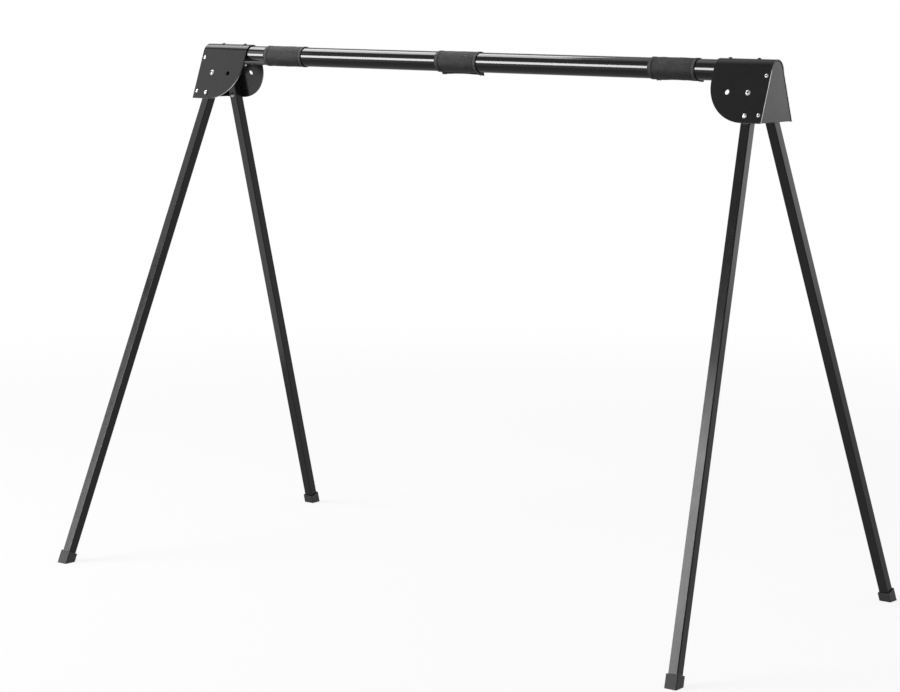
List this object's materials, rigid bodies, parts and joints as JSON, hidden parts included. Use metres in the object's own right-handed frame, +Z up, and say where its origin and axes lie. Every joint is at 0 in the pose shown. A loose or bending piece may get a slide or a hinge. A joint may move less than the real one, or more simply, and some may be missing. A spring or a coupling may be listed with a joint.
{
  "type": "floor bike rack",
  "caption": "Folding trestle rack that holds bicycles by their saddles: a wrapped round bar on sheet brackets, with splayed legs that lock by spring buttons and fold along the bar.",
  "frame": {"origin": "on the floor, below the middle of the bar", "axes": "+X along the bar to the right end, +Y to the back, +Z up"},
  "size_m": [1.5414, 0.828, 1.0866],
  "materials": {
    "gloss_black_bar": "gloss",
    "black_powder_coat": "satin",
    "black_cap": "matte",
    "black_wrap": "matte",
    "slip_washer": "matte",
    "black_bolt": "satin",
    "spring_steel": "brushed",
    "zinc": "bright zinc"
  },
  "bodies": {
    "left_half": {"bar_tube_left": "gloss_black_bar", "bracket_left": "black_powder_coat", "end_panel_left": "black_powder_coat", "panel_screws_left": "zinc", "saddle_bolts_left": "black_bolt", "saddle_nuts_left": "zinc", "wrap_left": "black_wrap", "bar_spigot": "spring_steel", "wrap_middle": "black_wrap", "pivot_bolt_front_left": "zinc", "pivot_spacer_front_left": "slip_washer", "pivot_washer_front_left": "zinc", "pivot_nut_front_left": "zinc", "pivot_bolt_back_left": "zinc", "pivot_spacer_back_left": "slip_washer", "pivot_washer_back_left": "zinc", "pivot_nut_back_left": "zinc"},
    "right_half": {"bar_tube_right": "gloss_black_bar", "bracket_right": "black_powder_coat", "end_panel_right": "black_powder_coat", "panel_screws_right": "zinc", "saddle_bolts_right": "black_bolt", "saddle_nuts_right": "zinc", "wrap_right": "black_wrap", "pivot_bolt_front_right": "zinc", "pivot_spacer_front_right": "slip_washer", "pivot_washer_front_right": "zinc", "pivot_nut_front_right": "zinc", "pivot_bolt_back_right": "zinc", "pivot_spacer_back_right": "slip_washer", "pivot_washer_back_right": "zinc", "pivot_nut_back_right": "zinc"},
    "leg_front_left": {"leg_front_left": "black_powder_coat", "foot_cap_front_left": "black_cap", "lock_spring_front_left": "spring_steel"},
    "lock_front_left": {"lock_button_front_left": "zinc"},
    "leg_front_right": {"leg_front_right": "black_powder_coat", "foot_cap_front_right": "black_cap", "lock_spring_front_right": "spring_steel"},
    "lock_front_right": {"lock_button_front_right": "zinc"},
    "leg_back_left": {"leg_back_left": "black_powder_coat", "foot_cap_back_left": "black_cap", "lock_spring_back_left": "spring_steel"},
    "lock_back_left": {"lock_button_back_left": "zinc"},
    "leg_back_right": {"leg_back_right": "black_powder_coat", "foot_cap_back_right": "black_cap", "lock_spring_back_right": "spring_steel"},
    "lock_back_right": {"lock_button_back_right": "zinc"}
  },
  "joints": [
    {"name": "bar_joint", "type": "slide", "parent": "left_half", "child": "right_half", "axis": [1, 0, 0], "range_m": [0, 0.115]},
    {"name": "fold_front_left", "type": "hinge", "parent": "left_half", "child": "leg_front_left", "pos_m": [-0.6645, -0.03813, 1.02382], "axis": [0, -0.9385, 0.3453], "range_deg": [0, 94.9], "deforming": ["lock_button_front_left"]},
    {"name": "press_front_left", "type": "slide", "parent": "leg_front_left", "child": "lock_front_left", "axis": [0, 0.9385, -0.3453], "range_m": [0, 0.0068], "stiffness_N_per_m": 2500, "springref_m": -0.006, "deforming": ["lock_spring_front_left"]},
    {"name": "fold_front_right", "type": "hinge", "parent": "right_half", "child": "leg_front_right", "pos_m": [0.6645, -0.03813, 1.02382], "axis": [0, -0.9385, 0.3453], "range_deg": [-94.9, 0], "deforming": ["lock_button_front_right"]},
    {"name": "press_front_right", "type": "slide", "parent": "leg_front_right", "child": "lock_front_right", "axis": [0, 0.9385, -0.3453], "range_m": [0, 0.0068], "stiffness_N_per_m": 2500, "springref_m": -0.006, "deforming": ["lock_spring_front_right"]},
    {"name": "fold_back_left", "type": "hinge", "parent": "left_half", "child": "leg_back_left", "pos_m": [-0.6645, 0.03813, 1.02382], "axis": [0, -0.9385, -0.3453], "range_deg": [0, 94.9], "deforming": ["lock_button_back_left"]},
    {"name": "press_back_left", "type": "slide", "parent": "leg_back_left", "child": "lock_back_left", "axis": [0, -0.9385, -0.3453], "range_m": [0, 0.0068], "stiffness_N_per_m": 2500, "springref_m": -0.006, "deforming": ["lock_spring_back_left"]},
    {"name": "fold_back_right", "type": "hinge", "parent": "right_half", "child": "leg_back_right", "pos_m": [0.6645, 0.03813, 1.02382], "axis": [0, -0.9385, -0.3453], "range_deg": [-94.9, 0], "deforming": ["lock_button_back_right"]},
    {"name": "press_back_right", "type": "slide", "parent": "leg_back_right", "child": "lock_back_right", "axis": [0, -0.9385, -0.3453], "range_m": [0, 0.0068], "stiffness_N_per_m": 2500, "springref_m": -0.006, "deforming": ["lock_spring_back_right"]}
  ]
}
